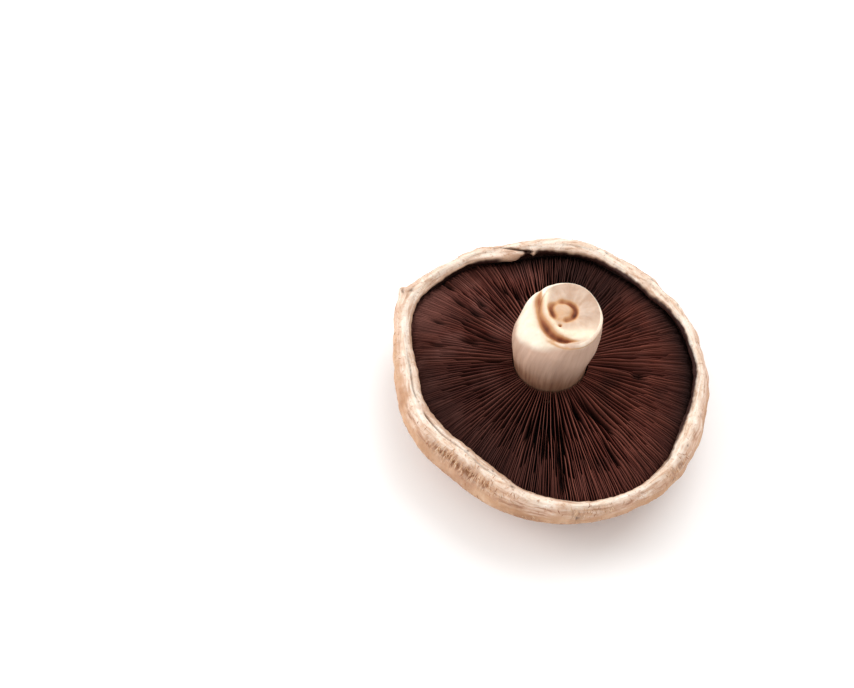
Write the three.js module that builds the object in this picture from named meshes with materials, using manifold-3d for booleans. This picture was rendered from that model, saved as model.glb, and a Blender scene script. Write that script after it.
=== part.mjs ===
// A portobello mushroom as picked, lying on its cap with the gills and the stem up.
// Millimetres, +Z up. The origin is the middle of the small flat spot that the cap rests on.
import * as THREE from "three";
import { mergeVertices } from "three/addons/utils/BufferGeometryUtils.js";
import Module from "manifold-3d";

const wasm = await Module();
wasm.setup();

// Driving dimensions of the cap

// The rim, every 15 degrees anticlockwise from +X: [reach out to the cap's widest line,
// how far the rolled rim comes in again from there, height of its crest].
const RIM = [
  [57.8, 6.5, 30.0],
  [57.1, 5.8, 29.7],
  [57.7, 5.9, 29.5],
  [58.4, 6.7, 29.6],
  [59.2, 7.2, 29.8],
  [59.8, 5.5, 30.0],
  [59.9, 6.4, 30.1],
  [60.0, 7.6, 30.4],
  [61.3, 5.7, 30.6],
  [63.0, 6.6, 30.9],
  [64.6, 7.3, 31.2],
  [60.0, 7.3, 30.8],
  [57.3, 8.7, 30.3],
  [56.7, 8.6, 30.2],
  [55.8, 9.2, 30.4],
  [54.2, 9.6, 30.6],
  [55.6, 9.8, 30.4],
  [57.5, 8.3, 30.0],
  [58.8, 6.3, 29.8],
  [60.1, 5.9, 29.7],
  [60.6, 6.1, 29.8],
  [60.4, 7.2, 30.1],
  [59.0, 8.2, 30.3],
  [58.0, 7.4, 30.2],
];
// The rolled rim in section, from the widest line over the crest and the lip to the wall
// that the gills end at: [share of the roll, depth below the crest].
const ROLL = [
  [0, 6.2],
  [0.08, 3.2],
  [0.28, 0.9],
  [0.52, 0],
  [0.8, 0.9],
  [1, 2.6],
  [0.72, 4.2],
];
const GILL_WALL = 0.7;
// The flesh under the gills, from that wall in to the stem: [share of the way, height].
const SEAT = [
  [0, 22.6],
  [0.12, 20.6],
  [0.35, 18.9],
  [0.6, 17.5],
  [0.85, 16.6],
  [1, 16.2],
];
// The dome is a quarter of an ellipse, cut off flat where it rests. The rim's waves die out towards the spot.
const REST_ANGLE = 12 * THREE.MathUtils.DEG2RAD;
const MEAN_REACH = 58.5;
const DOME_RINGS = 8;
const CAP_SIDES = 80;

// Driving dimensions of the gills

// From the rim in to the stem: [share of the way, height of the edges, height between them].
const GILLS = [
  [0, 24.9, 24.0],
  [0.06, 25.3, 22.6],
  [0.2, 25.7, 21.8],
  [0.42, 25.9, 21.2],
  [0.64, 25.9, 21.0],
  [0.84, 25.7, 21.2],
  [1, 25.3, 22.2],
];
const GILL_COUNT = 132;
const GILL_EDGE = 0.7;
const GILL_END = 0.82;
// Every fourth gill runs all the way in, and the others die out before the stem:
// [share of the way where one is still whole, share where it has gone].
const GILL_TIERS = [
  [1, 2],
  [0.42, 0.6],
  [0.8, 0.94],
  [0.5, 0.66],
];
const GILL_FLOOR = [1, 0.6, 0.3, 0.08, 0];
const FLOOR_SIDES = 88;

// Driving dimensions of the stem

// From the foot up to the cut: [height, middle x, middle y, radius along X, radius along Y].
const STEM = [
  [16.5, 0, 6.5, 12.4, 12.4],
  [20.5, 0, 6.5, 13.1, 13.1],
  [25.5, -0.1, 6.5, 13.5, 13.4],
  [31, 0.1, 6.7, 14.4, 14.2],
  [37, 0.6, 7.0, 15.3, 14.8],
  [43, 1.6, 7.5, 15.1, 15.1],
  [47.5, 3.1, 8.2, 13.9, 14.8],
  [50.2, 4.6, 8.9, 12.2, 14.2],
  [51.2, 5.2, 9.2, 11.0, 13.3],
];
const STEM_SIDES = 40;
const FOOT_RADIUS = 13.4;
const STEM_HOLE = 13.9;
const STEM_FOOT = new THREE.Vector2(STEM[0][1], STEM[0][2]);
const CUT_HEIGHT = STEM.at(-1)[0];

// Two grooves in the cut, each along a curve: [x, y, half width].
// One splits the rind from the core, and the other curls round the pith.
const CRACK = {
  depth: 2.6,
  route: [
    [-4.3, 21.5, 0.4],
    [-5.6, 14.5, 1.0],
    [-5.1, 9.0, 1.2],
    [-2.5, 2.2, 1.1],
    [1.0, -1.2, 0.9],
    [6.5, -2.3, 0.4],
  ],
};
const PITH = {
  depth: 1.5,
  route: [
    [1.0, 8.3, 0.5],
    [-1.2, 10.9, 0.7],
    [0, 13.9, 0.7],
    [3.2, 15.1, 0.8],
    [6.3, 13.0, 0.9],
    [7.5, 9.4, 0.9],
    [5.2, 6.0, 0.6],
  ],
};
const GROOVE_STEPS = 18;

// Room left between solids that touch
const GAP = 0.3;

const COLOURS = { cap: 0xd9b48f, gills: 0x4a2820, stem: 0xe2cbb4 };
const ROUGHNESS = { cap: 0.75, gills: 0.85, stem: 0.6 };

// Shared geometry

const rim = new THREE.CatmullRomCurve3(
  RIM.map((row) => new THREE.Vector3(...row)),
  true,
  "catmullrom",
  0.5,
);

// Reach, roll and crest of the rim at a share of a full turn.
function rimAt(turn) {
  const { x: reach, y: roll, z: crest } = rim.getPoint(((turn % 1) + 1) % 1);
  return { reach, roll, crest };
}

function outwards(turn, radius) {
  const angle = turn * 2 * Math.PI;
  return new THREE.Vector2(radius * Math.cos(angle), radius * Math.sin(angle));
}

function lifted(flat, height) {
  return new THREE.Vector3(flat.x, flat.y, height);
}

// The value in a column of a table, at a share that its first column gives in rising order.
function along(table, share, column) {
  const next = Math.max(1, table.findIndex((row) => row[0] >= share));
  const [low, high] = [table[next - 1], table[next]];
  return THREE.MathUtils.mapLinear(share, low[0], high[0], low[column], high[column]);
}

function ring(sides, place) {
  return Array.from({ length: sides }, (_, i) => place(i / sides));
}

// A closed surface through rings of points, each anticlockwise. A ring of one point is a pole.
function surfaceThrough(rings) {
  const faces = [];
  let here = 0;
  for (let k = 1; k < rings.length; k++) {
    const [n, m] = [rings[k - 1].length, rings[k].length];
    const there = here + n;
    const [ends, starts] = [n > 1 ? n : 0, m > 1 ? m : 0];
    let [i, j] = [0, 0];
    while (i < ends || j < starts) {
      const [a, b] = [here + (i % n), there + (j % m)];
      if (i < ends && (j === starts || (i + 1) / n <= (j + 1) / m)) {
        i += 1;
        faces.push(a, here + (i % n), b);
      } else {
        j += 1;
        faces.push(a, there + (j % m), b);
      }
    }
    here = there;
  }
  return new THREE.BufferGeometry().setFromPoints(rings.flat()).setIndex(faces);
}

function solidOf(geometry) {
  const bare = geometry.clone();
  bare.deleteAttribute("normal");
  bare.deleteAttribute("uv");
  const merged = mergeVertices(bare);
  return new wasm.Manifold(
    new wasm.Mesh({
      numProp: 3,
      vertProperties: new Float32Array(merged.getAttribute("position").array),
      triVerts: new Uint32Array(merged.index.array),
    }),
  );
}

function geometryOf(solid) {
  const { vertProperties, triVerts } = solid.getMesh();
  return new THREE.BufferGeometry()
    .setAttribute("position", new THREE.BufferAttribute(vertProperties, 3))
    .setIndex(new THREE.BufferAttribute(triVerts, 1));
}

function piece(name, geometry) {
  geometry.computeVertexNormals();
  const finish = { color: COLOURS[name], roughness: ROUGHNESS[name], metalness: 0 };
  const mesh = new THREE.Mesh(geometry, new THREE.MeshStandardMaterial(finish));
  mesh.name = name;
  return mesh;
}

// A point a share of the way in from the rim to a circle round the stem's foot
function inwards(from, radius, share) {
  const end = from.clone().sub(STEM_FOOT).setLength(radius).add(STEM_FOOT);
  return from.clone().lerp(end, share);
}

// Cap: domed skin, rolled rim, and the flesh that carries the gills and the stem

function wallAt(turn) {
  const { reach, roll } = rimAt(turn);
  return outwards(turn, reach - GILL_WALL * roll);
}

// A ring of the dome, from 0 at the edge of the rest spot to 1 at the widest line
function domeRing(share) {
  const angle = THREE.MathUtils.lerp(REST_ANGLE, Math.PI / 2, share);
  const rise = 1 - Math.cos(angle) / Math.cos(REST_ANGLE);
  return ring(CAP_SIDES, (turn) => {
    const { reach, crest } = rimAt(turn);
    const waved = THREE.MathUtils.lerp(MEAN_REACH, reach, share * share);
    return lifted(outwards(turn, waved * Math.sin(angle)), rise * (crest - ROLL[0][1]));
  });
}

function cap() {
  const dome = ring(DOME_RINGS, domeRing);
  const roll = ROLL.map(([share, depth]) =>
    ring(CAP_SIDES, (turn) => {
      const { reach, roll: width, crest } = rimAt(turn);
      return lifted(outwards(turn, reach - share * width), crest - depth);
    }),
  );
  const seat = SEAT.map(([share, height]) =>
    ring(CAP_SIDES, (turn) => lifted(inwards(wallAt(turn), FOOT_RADIUS, share), height)),
  );
  const restMiddle = [new THREE.Vector3(0, 0, 0)];
  const seatMiddle = [lifted(STEM_FOOT, SEAT.at(-1)[1])];
  return piece("cap", surfaceThrough([restMiddle, ...dome, ...roll, ...seat, seatMiddle]));
}

// Gills: dark plates that stand on one thin bed round the stem

function gillPoint(turn, share) {
  const { reach, roll } = rimAt(turn);
  return inwards(outwards(turn, reach - GILL_END * roll), STEM_HOLE, share);
}

function gillHeight(index, share) {
  const [whole, gone] = GILL_TIERS[index % GILL_TIERS.length];
  const standing = 1 - THREE.MathUtils.smoothstep(share, whole, gone);
  return THREE.MathUtils.lerp(along(GILLS, share, 2), along(GILLS, share, 1), standing);
}

// A ring of the gills' upper side: each gill has the two corners of its edge, then comes a groove
function gillRing(share) {
  const half = 0.5 / GILL_COUNT;
  const widest = 0.85 * half;
  return ring(GILL_COUNT, (turn) => {
    const pitch = 2 * gillPoint(turn, share).distanceTo(gillPoint(turn + half, share));
    const corner = Math.min((half * GILL_EDGE) / pitch, widest);
    const height = gillHeight(Math.round(turn * GILL_COUNT), share);
    return [
      lifted(gillPoint(turn - corner, share), height),
      lifted(gillPoint(turn + corner, share), height),
      lifted(gillPoint(turn + half, share), along(GILLS, share, 2)),
    ];
  }).flat();
}

function floorRing(share) {
  return ring(FLOOR_SIDES, (turn) => {
    const wall = wallAt(turn);
    const flat = gillPoint(turn, share);
    const whole = wall.distanceTo(inwards(wall, FOOT_RADIUS, 1));
    return lifted(flat, along(SEAT, wall.distanceTo(flat) / whole, 1) + GAP);
  });
}

function gills() {
  const floor = GILL_FLOOR.map(floorRing);
  const top = GILLS.map(([share]) => gillRing(share));
  return piece("gills", surfaceThrough([...floor, ...top, floor[0]]));
}

// Stem: a stout stalk that leans a little, cut across its end

function groove({ route, depth }) {
  const middle = new THREE.CatmullRomCurve3(route.map((row) => new THREE.Vector3(...row)));
  const sides = [1, -1].map((side) =>
    Array.from({ length: GROOVE_STEPS + 1 }, (_, i) => {
      const { x, y, z: half } = middle.getPoint(i / GROOVE_STEPS);
      const { x: dx, y: dy } = middle.getTangent(i / GROOVE_STEPS);
      const across = new THREE.Vector2(-dy, dx).setLength(side * half);
      return new THREE.Vector2(x, y).add(across);
    }),
  );
  const outline = new THREE.Shape([...sides[0], ...sides[1].reverse()]);
  const slot = new THREE.ExtrudeGeometry(outline, { depth: depth + 1, bevelEnabled: false });
  return solidOf(slot.translate(0, 0, CUT_HEIGHT - depth));
}

function stem() {
  const rings = STEM.map(([height, x, y, alongX, alongY]) =>
    ring(STEM_SIDES, (turn) => {
      const out = outwards(turn, 1);
      return new THREE.Vector3(x + alongX * out.x, y + alongY * out.y, height);
    }),
  );
  const [foot, top] = [STEM[0], STEM.at(-1)].map(([height, x, y]) => [new THREE.Vector3(x, y, height)]);
  const whole = solidOf(surfaceThrough([foot, ...rings, top]));
  return piece("stem", geometryOf(whole.subtract(groove(CRACK)).subtract(groove(PITH))));
}

const mushroom = new THREE.Group();
mushroom.add(cap(), gills(), stem());

export default mushroom;
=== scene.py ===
# A portobello mushroom on a plain pale floor, lying on its cap with the gills and the cut stem up.
# Sizes are in millimetres until a mesh is made, and the frame is the model's own.
import math
from functools import partial

import bpy
import numpy as np
from mathutils import Matrix, Vector


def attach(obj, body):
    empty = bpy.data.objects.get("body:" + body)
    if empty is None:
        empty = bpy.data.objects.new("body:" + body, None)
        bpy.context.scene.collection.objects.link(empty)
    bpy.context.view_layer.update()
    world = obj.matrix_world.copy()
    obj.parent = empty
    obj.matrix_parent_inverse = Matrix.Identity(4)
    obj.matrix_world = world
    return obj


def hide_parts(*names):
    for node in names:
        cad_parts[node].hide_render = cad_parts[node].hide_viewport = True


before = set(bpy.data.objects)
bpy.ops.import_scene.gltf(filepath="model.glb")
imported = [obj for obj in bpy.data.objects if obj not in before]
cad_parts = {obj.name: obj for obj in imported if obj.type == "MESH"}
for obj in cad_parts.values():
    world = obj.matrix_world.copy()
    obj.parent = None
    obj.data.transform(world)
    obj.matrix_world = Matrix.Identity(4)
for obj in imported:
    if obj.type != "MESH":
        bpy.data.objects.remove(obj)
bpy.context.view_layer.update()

MM = 0.001
TURN = 2 * math.pi


# Measures of the cap, as the solids have them

# The rim, every 15 degrees anticlockwise from +X: [reach out to the cap's widest line,
# how far the rolled rim comes in again from there, height of its crest].
RIM = np.array([
    [57.8, 6.5, 30.0], [57.1, 5.8, 29.7], [57.7, 5.9, 29.5], [58.4, 6.7, 29.6],
    [59.2, 7.2, 29.8], [59.8, 5.5, 30.0], [59.9, 6.4, 30.1], [60.0, 7.6, 30.4],
    [61.3, 5.7, 30.6], [63.0, 6.6, 30.9], [64.6, 7.3, 31.2], [60.0, 7.3, 30.8],
    [57.3, 8.7, 30.3], [56.7, 8.6, 30.2], [55.8, 9.2, 30.4], [54.2, 9.6, 30.6],
    [55.6, 9.8, 30.4], [57.5, 8.3, 30.0], [58.8, 6.3, 29.8], [60.1, 5.9, 29.7],
    [60.6, 6.1, 29.8], [60.4, 7.2, 30.1], [59.0, 8.2, 30.3], [58.0, 7.4, 30.2],
])
# The rolled rim in section, from the widest line over the crest and the lip and down the wall:
# [share of the roll, depth below the crest].
ROLL = np.array([
    [0, 6.2], [0.08, 3.2], [0.28, 0.9], [0.52, 0], [0.8, 0.9], [1, 2.6], [0.72, 4.2], [0.66, 6.4],
])
WIDEST_DEPTH = ROLL[0, 1]
GILL_WALL = 0.7
# The flesh under the gills, from that wall in to the stem: [share of the way, height].
SEAT = np.array([[0, 22.6], [0.12, 20.6], [0.35, 18.9], [0.6, 17.5], [0.85, 16.6], [1, 16.2]])
REST_ANGLE = math.radians(12)
MEAN_REACH = 58.5

# Measures of the stem, from the foot up to the cut:
# [height, middle x, middle y, radius along X, radius along Y].
STEM = np.array([
    [16.5, 0, 6.5, 12.4, 12.4], [20.5, 0, 6.5, 13.1, 13.1], [25.5, -0.1, 6.5, 13.5, 13.4],
    [31, 0.1, 6.7, 14.4, 14.2], [37, 0.6, 7.0, 15.3, 14.8], [43, 1.6, 7.5, 15.1, 15.1],
    [47.5, 3.1, 8.2, 13.9, 14.8], [50.2, 4.6, 8.9, 12.2, 14.2], [51.2, 5.2, 9.2, 11.0, 13.3],
])
STEM_FOOT = STEM[0, 1:3]
STEM_HOLE = 13.9
CUT = STEM[-1]
# Grooves in the cut, each along a curve: [x, y, half width].
CRACK = np.array([
    [-3.4, 22.5, 0.6], [-5.2, 16.0, 1.2], [-5.4, 10.5, 1.6], [-3.8, 4.6, 1.8], [-1.2, 0.6, 1.7],
    [2.4, -1.5, 1.1], [6.2, -2.2, 0.65], [10.0, -2.0, 0.42],
])
# The groove round the pith, nearly a ring: its middle, its radius, and its strength by angle in degrees.
PITH = (3.2, 10.7)
PITH_RADIUS = 4.2
PITH_RING = np.array([
    [0, 1.0], [30, 0.95], [60, 0.85], [90, 0.65], [120, 0.25], [150, 0.7], [180, 0.9], [210, 0.6], [235, 0.1],
    [262, 0.15], [280, 0.65], [310, 0.55], [335, 0.85], [360, 1.0],
])
PIT = (1.7, 4.2)


# Curves, noise and meshes

def spline(table, places, closed=False):
    """Points on a smooth curve through a table's rows, at places counted in rows."""
    places = np.asarray(places, float)
    last = len(table) - 1
    row = np.floor(places).astype(int)
    if not closed:
        row = np.clip(row, 0, last - 1)
    t = (places - row)[..., None]
    pick = (lambda i: table[i % len(table)]) if closed else (lambda i: table[np.clip(i, 0, last)])
    a, b, c, d = (pick(row + k) for k in (-1, 0, 1, 2))
    return 0.5 * (2 * b + (c - a) * t + (2 * a - 5 * b + 4 * c - d) * t**2 + (3 * b - a - 3 * c + d) * t**3)


def rim_at(turn):
    """Reach, roll and crest of the rim at shares of a full turn."""
    return np.moveaxis(spline(RIM, (np.asarray(turn) % 1) * len(RIM), closed=True), -1, 0)


def smooth(low, high, value):
    """Rises smoothly from 0 at low to 1 at high. Low may be the larger of the two."""
    t = np.clip((value - low) / (high - low), 0, 1)
    return t * t * (3 - 2 * t)


def bell(value, width):
    return np.exp(-((value / width) ** 2))


def turn_gap(turn, degrees):
    """Signed distance of each turn from an angle, in degrees."""
    return (np.asarray(turn) * 360 - degrees + 180) % 360 - 180


def noise(points, size, seed):
    """Smooth noise from -1 to 1 whose lumps measure about the given size. The size may differ by axis."""
    p = np.asarray(points, float) / size
    cell = np.floor(p).astype(np.int64)
    f = p - cell
    f = f * f * (3 - 2 * f)
    total = np.zeros(p.shape[:-1])
    for corner in np.ndindex(2, 2, 2):
        at = cell + corner
        h = (at[..., 0] * 73856093) ^ (at[..., 1] * 19349663) ^ (at[..., 2] * 83492791) ^ (seed * 2654435761)
        h = ((h ^ (h >> 13)) * 1274126177) & 0xFFFFFFFF
        value = ((h ^ (h >> 16)) & 0xFFFF) / 32767.5 - 1
        total += value * np.prod(np.where(corner, f, 1 - f), axis=-1)
    return total


def beside(points, route, samples=90):
    """Each flat point's distance to a curve, its side (positive to the right) and the half width there."""
    line = spline(route, np.linspace(0, len(route) - 1, samples))
    gap = points[..., None, :2] - line[:, :2]
    distance = np.hypot(gap[..., 0], gap[..., 1])
    nearest = distance.argmin(axis=-1)
    step = np.gradient(line[:, :2], axis=0)[nearest]
    off = np.take_along_axis(gap, nearest[..., None, None], axis=-2)[..., 0, :]
    side = np.sign(step[..., 1] * off[..., 0] - step[..., 0] * off[..., 1])
    return distance.min(axis=-1), side, line[nearest, 2]


def normals_of(rows):
    """Outward unit normals of a grid of points whose columns close on themselves."""
    around = np.roll(rows, -1, axis=1) - np.roll(rows, 1, axis=1)
    across = np.gradient(rows, axis=0)
    out = np.cross(around, across)
    return out / np.maximum(np.linalg.norm(out, axis=-1, keepdims=True), 1e-9)


def grid_mesh(name, rows, poles=True, closed=False, traits=None):
    """A mesh through rings of points, shape (rings, columns, 3). Poles close both ends with a point each."""
    count, columns = rows.shape[:2]
    points = rows.reshape(-1, 3)
    index = np.arange(count * columns).reshape(count, columns)
    ring_pairs = [(index[:-1], index[1:])]
    if closed:
        ring_pairs.append((index[-1:], index[:1]))
    quads = [
        np.stack([a, np.roll(a, -1, 1), np.roll(b, -1, 1), b], axis=-1).reshape(-1, 4) for a, b in ring_pairs
    ]
    faces = np.concatenate(quads).tolist()
    if poles:
        first, last = len(points), len(points) + 1
        points = np.concatenate([points, rows[:1].mean(axis=1), rows[-1:].mean(axis=1)])
        faces += [(first, (j + 1) % columns, j) for j in range(columns)]
        faces += [(last, int(index[-1, j]), int(index[-1, (j + 1) % columns])) for j in range(columns)]
    mesh = bpy.data.meshes.new(name)
    mesh.from_pydata((points * MM).tolist(), [], faces)
    for trait, values in (traits or {}).items():
        values = np.asarray(values, float)
        flat = values.reshape(count * columns, -1)
        if poles:
            ends = [values[0].reshape(columns, -1).mean(axis=0), values[-1].reshape(columns, -1).mean(axis=0)]
            flat = np.concatenate([flat, ends])
        kind, field = ("FLOAT", "value") if flat.shape[1] == 1 else ("FLOAT_VECTOR", "vector")
        mesh.attributes.new(trait, kind, "POINT").data.foreach_set(field, flat.ravel())
    mesh.shade_smooth()
    mesh.update()
    return mesh


def show(name, mesh, material, slot, *nodes):
    """Makes a mesh a piece of the mushroom that stands for solids of the frame."""
    piece = bpy.data.objects.new(name, mesh)
    bpy.context.scene.collection.objects.link(piece)
    if not mesh.materials:
        mesh.materials.append(material)
    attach(piece, "root")
    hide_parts(*nodes)
    return piece


# Nodes and colours

# The kinds of node that are used most, each with its settings
PLUS, MINUS, TIMES, TIMES_PLUS, POWER, MODULO, MOST, SAME = (
    ("ShaderNodeMath", {"operation": operation})
    for operation in ("ADD", "SUBTRACT", "MULTIPLY", "MULTIPLY_ADD", "POWER", "MODULO", "MAXIMUM", "COMPARE"))
MOVED, BETWEEN, STRETCHED, SCALED, CROSS, DOT, UNIT = (
    ("ShaderNodeVectorMath", {"operation": operation})
    for operation in ("ADD", "SUBTRACT", "MULTIPLY", "SCALE", "CROSS_PRODUCT", "DOT_PRODUCT", "NORMALIZE"))
MIX = ("ShaderNodeMix", {"data_type": "RGBA"})
TINT = ("ShaderNodeMix", {"data_type": "RGBA", "blend_type": "MULTIPLY"})
RAMP = ("ShaderNodeValToRGB", {})
RANGE = ("ShaderNodeMapRange", {})
NOISE = ("ShaderNodeTexNoise", {})
JOINED = ("ShaderNodeCombineXYZ", {})
TRAIT = ("ShaderNodeAttribute", {})
CHANCE = ("FunctionNodeRandomValue", {"data_type": "FLOAT"})
NAMED = ("GeometryNodeInputNamedAttribute", {"data_type": "FLOAT"})
STORED = ("GeometryNodeStoreNamedAttribute", {"data_type": "FLOAT"})
REALIZED = ("GeometryNodeRealizeInstances", {})


def colour(code):
    """An sRGB hex colour as linear RGBA."""
    parts = [int(code[i:i + 2], 16) / 255 for i in (0, 2, 4)]
    return (*(c / 12.92 if c <= 0.04045 else ((c + 0.055) / 1.055) ** 2.4 for c in parts), 1)


def add(tree, kind, *values, sockets=None, stops=(), **settings):
    """Adds a node with its settings, its inputs' values and links, and a ramp's colours.

    Values fill the inputs that the settings leave in use, in order, and sockets gives others by name.
    None leaves an input as it is. A node as a value passes on its first output in use.
    """
    name, usual = (kind, {}) if isinstance(kind, str) else kind
    node = tree.nodes.new(name)
    for setting, value in {**usual, **settings}.items():
        setattr(node, setting, value)
    in_use = [socket for socket in node.inputs if socket.enabled]
    by_name = [(node.inputs[key], value) for key, value in (sockets or {}).items()]
    for socket, value in [*zip(in_use, values), *by_name]:
        if isinstance(value, bpy.types.Node):
            value = next(output for output in value.outputs if output.enabled)
        if isinstance(value, bpy.types.NodeSocket):
            tree.links.new(value, socket)
        elif value is not None:
            socket.default_value = colour(value) if socket.type == "RGBA" else value
    for k, (place, shade) in enumerate(stops):
        stop = node.color_ramp.elements[k] if k < 2 else node.color_ramp.elements.new(place)
        stop.position = place
        stop.color = colour(shade) if isinstance(shade, str) else (shade, shade, shade, 1)
    return node


def new_material(name):
    """A new material, and the function that adds a node to it."""
    material = bpy.data.materials.new(name)
    material.use_nodes = True
    material.node_tree.nodes.clear()
    return material, partial(add, material.node_tree)


def finish_material(node, sockets):
    """Ends a material's nodes in a principled shader with these sockets."""
    shader = node("ShaderNodeBsdfPrincipled", sockets=sockets)
    node("ShaderNodeOutputMaterial", sockets={"Surface": shader})


def grain(node, place, rates, detail=3, roughness=0.55, distortion=0.0):
    """A pattern of noise with so many lumps to a unit of the place along each axis."""
    lumps = node(STRETCHED, place, rates)
    return node(NOISE, lumps, 1.0, detail, roughness, sockets={"Distortion": distortion})


# Materials

def cap_material():
    """Mushroom cuticle and rim flesh: dry tan skin of pressed fibres, frayed to cream on the rolled rim."""
    material, node = new_material("mushroom_cuticle")
    fibres = node(TRAIT, attribute_name="fibres").outputs["Vector"]
    margin, flesh, crest, inner, browned_and_shaded, scaly, grained = (
        node(TRAIT, attribute_name=name).outputs["Fac"]
        for name in ("margin", "flesh", "crest", "inner", "browned_and_shaded", "scaly", "grained"))
    # Patches of 10 mm, mottles of 26 mm and specks of 1.2 mm, by their rates to a metre
    place = node("ShaderNodeTexCoord").outputs["Object"]
    patches = grain(node, place, (100, 100, 100), detail=5, roughness=0.6)
    mottles = grain(node, place, (38, 38, 38), detail=3, roughness=0.6)
    specks = grain(node, place, (800, 800, 800), detail=4, roughness=0.7)
    # Strands 0.9 by 3.3 mm up the wall and bands 8.3 by 1.2 mm round the rim, by their rates to a mm
    strands = grain(node, fibres, (1.1, 1.1, 0.30), detail=4, roughness=0.6, distortion=0.8)
    bands = grain(node, fibres, (0.12, 0.12, 0.8), detail=6, roughness=0.65, distortion=0.6)

    # The skin: brown in the middle of the dome and paler to the margin, torn to dark and pale fibres
    centre = node(RAMP, patches, stops=[(0.30, "8F5933"), (0.74, "CC9768"), (0.45, "A56C42"), (0.60, "B87F52")])
    outer = node(RAMP, patches, stops=[(0.30, "A97C5B"), (0.74, "DDBFA2"), (0.45, "C09574"), (0.60, "CFA98A")])
    skin = node(MIX, margin, centre, outer)
    mottle = node(RAMP, mottles, stops=[(0.30, "F2C698"), (0.70, "BE9280"), (0.42, "FFF4E6"), (0.54, "FFF8F2")])
    skin = node(TINT, node(RANGE, margin, 0.0, 1.0, 1.0, 0.3), skin, mottle)
    torn = node(TIMES, node(RAMP, strands, stops=[(0.45, 1.0), (0.52, 0.0)]), scaly)
    frayed = node(TIMES, node(RAMP, strands, stops=[(0.56, 0.0), (0.66, 0.8)]), scaly)
    skin = node(MIX, frayed, node(MIX, torn, skin, "724322"), "E4CDB2")

    # The rim: cream flesh, palest on its crest, with blotches and specks, and tan inside the lip, darkened
    # there partly as painted shade
    wall = node(RAMP, bands, stops=[(0.34, "966C54"), (0.66, "E8D4C4"), (0.44, "C2987F"), (0.55, "D8B8A1")])
    ridge = node(RAMP, bands, stops=[(0.30, "C59C80"), (0.70, "F8EEE2"), (0.42, "E0C6AF"), (0.54, "EFDFCE")])
    rim = node(MIX, crest, wall, ridge)
    rim = node(MIX, node(RANGE, patches, 0.52, 0.72, 0.0, 0.5), rim, "BF9074")
    rim = node(MIX, node(RAMP, specks, stops=[(0.56, 0.0), (0.70, 0.75)]), rim, "A97A5A")
    rim = node(MIX, inner, rim, node(MIX, bands, "946850", "D8B89C"))
    # Brown where nicked, and darkened as painted shade in the crack, the slit, the gap in the veil and on the
    # slope inside the far rim
    stained_and_shaded = node(MIX, browned_and_shaded, node(MIX, flesh, skin, rim), "32140C")
    relief = node(TIMES_PLUS, strands, grained, specks)
    bump = node("ShaderNodeBump", sockets={"Height": relief, "Strength": 0.6, "Distance": 0.45 * MM})
    finish_material(node, {
        "Base Color": stained_and_shaded, "Roughness": 0.62, "Specular IOR Level": 0.3, "Subsurface Weight": 0.1,
        "Subsurface Radius": (1.0, 0.6, 0.4), "Subsurface Scale": 1.2 * MM, "Normal": bump})
    return material


def gill_material():
    """Gill flesh: soft matt plates, reddish brown, paler along the edge, and darkened to near black at the root
    as painted shade between the plates.
    """
    material, node = new_material("gill_flesh")
    edge, plate, bruise, even, paled = (
        node(TRAIT, attribute_name=name).outputs["Fac"]
        for name in ("edge", "plate", "bruise", "even", "paled"))
    # Streaks 8 mm long that differ from gill to gill
    streaks = grain(node, node(TRAIT, attribute_name="along").outputs["Vector"], (0.12, 1.4, 1.0))
    # Near black at the root as painted shade between the plates, rising to reddish brown and paler along the
    # edge
    flesh = node(RAMP, edge, stops=[(0.0, "2A110C"), (1.0, "8A4E40"), (0.5, "4F221A"), (0.9, "693529")])
    flesh = node(MIX, even, flesh, "7C4031")
    flesh = node(TINT, 1.0, flesh, node(RAMP, streaks, stops=[(0.3, 0.7), (0.7, 1.0)]))
    flesh = node(TINT, 1.0, flesh, node(RAMP, plate, stops=[(0.0, "B08E86"), (1.0, "FFFFFF")]))
    # Painted light at the back left and by the left rim, then darker patches of their own and painted shade in
    # recesses and hollows
    flesh = node(MIX, bruise, node(MIX, paled, flesh, "8C5A50"), "1F0C09")
    bump = node("ShaderNodeBump", sockets={"Height": streaks, "Strength": 0.35, "Distance": 0.2 * MM})
    finish_material(node, {"Base Color": flesh, "Roughness": 0.75, "Specular IOR Level": 0.2, "Normal": bump})
    return material


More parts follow.
